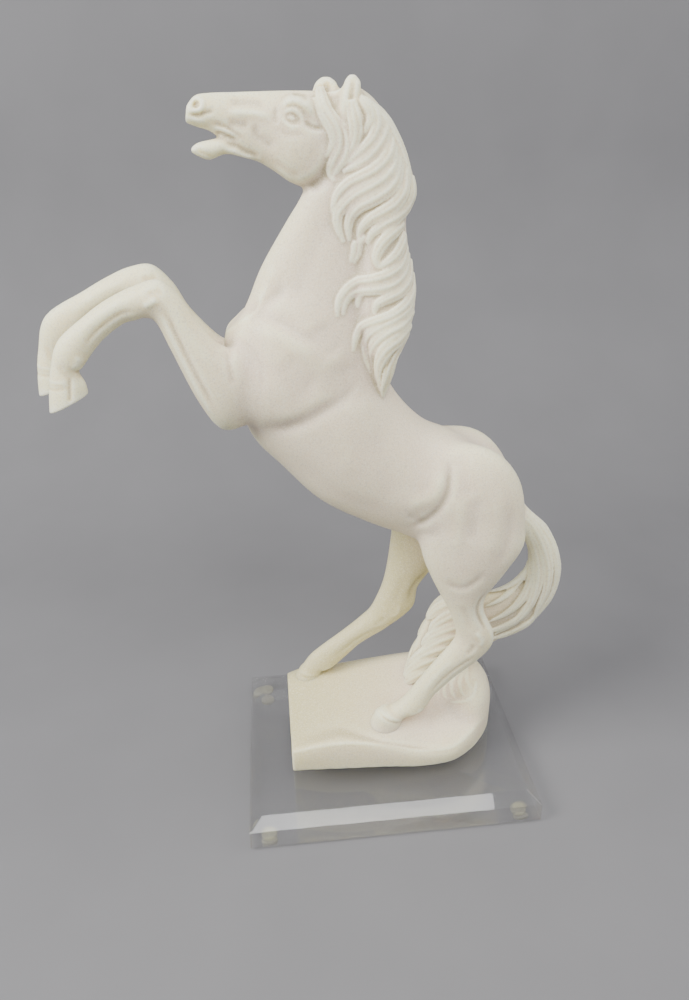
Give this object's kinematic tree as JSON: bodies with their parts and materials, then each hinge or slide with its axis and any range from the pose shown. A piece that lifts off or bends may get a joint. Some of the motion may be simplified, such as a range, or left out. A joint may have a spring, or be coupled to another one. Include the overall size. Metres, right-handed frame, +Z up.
{
  "type": "rearing horse sculpture on a plinth",
  "caption": "Frosted translucent horse rearing over a cast mound of ground, bonded to a clear bevelled rectangular plinth that stands on small clear bumper feet.",
  "frame": {"origin": "Middle of the whole object's footprint box, on the surface it stands on, at the bottom of the feet.", "axes": "+Z is up. -X is where the raised forehooves reach, +X is the tail, and -Y is the near side, the horse's left side."},
  "size_m": [0.2936, 0.144, 0.4058],
  "materials": {
    "frosted_resin": "translucent milky resin with a fine frosted grain, warm where it is thick and yellower where it is thin",
    "clear_acrylic": "polished water-clear cast acrylic with a bright bevel",
    "clear_adhesive": "cloudy clear adhesive",
    "clear_vinyl": "soft clear bumper, slightly yellowed"
  },
  "bodies": {
    "root": {"ground": "frosted_resin", "body": "frosted_resin", "mane": "frosted_resin", "left_foreleg": "frosted_resin", "right_foreleg": "frosted_resin", "left_hind_leg": "frosted_resin", "right_hind_leg": "frosted_resin", "tail": "frosted_resin", "plinth": "clear_acrylic", "bond_pad": "clear_adhesive", "foot_front_left": "clear_vinyl", "foot_front_right": "clear_vinyl", "foot_back_left": "clear_vinyl", "foot_back_right": "clear_vinyl"}
  },
  "joints": []
}
